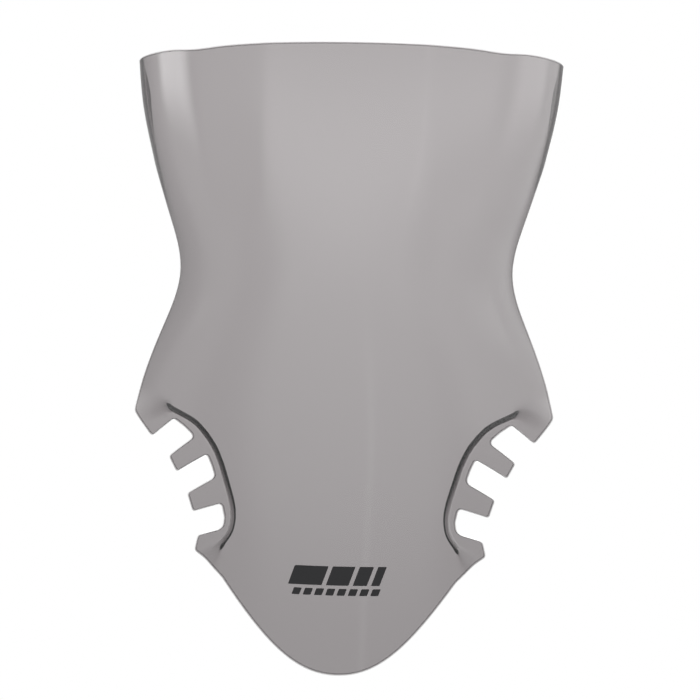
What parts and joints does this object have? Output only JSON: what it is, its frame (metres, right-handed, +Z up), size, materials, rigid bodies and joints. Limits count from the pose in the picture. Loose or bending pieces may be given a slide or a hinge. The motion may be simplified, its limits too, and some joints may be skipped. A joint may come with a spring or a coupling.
{
  "type": "motorcycle windshield screen",
  "caption": "Tinted clear one-piece motorcycle windscreen: a domed, waisted sheet with curled upper flanks and a comb of fixing tabs on each lower side.",
  "frame": {"origin": "under the middle of the screen's depth, level with the nose tip, on the plane of symmetry", "axes": "+X across the screen, +Y back through it from the wind side to the rider's side, +Z up from the nose tip to the top edge"},
  "size_m": [0.3228, 0.0976, 0.4532],
  "materials": {
    "tinted_acrylic": "light smoke tinted clear cast acrylic, polished",
    "black_film": "die-cut black adhesive film, satin"
  },
  "bodies": {
    "root": {"screen": "tinted_acrylic", "decal_bar_1": "black_film", "decal_bar_2": "black_film", "decal_bar_3": "black_film", "decal_bar_4": "black_film", "decal_dash_1": "black_film", "decal_dash_2": "black_film", "decal_dash_3": "black_film", "decal_dash_4": "black_film", "decal_dash_5": "black_film", "decal_dash_6": "black_film", "decal_dash_7": "black_film", "decal_dash_8": "black_film"}
  },
  "joints": []
}
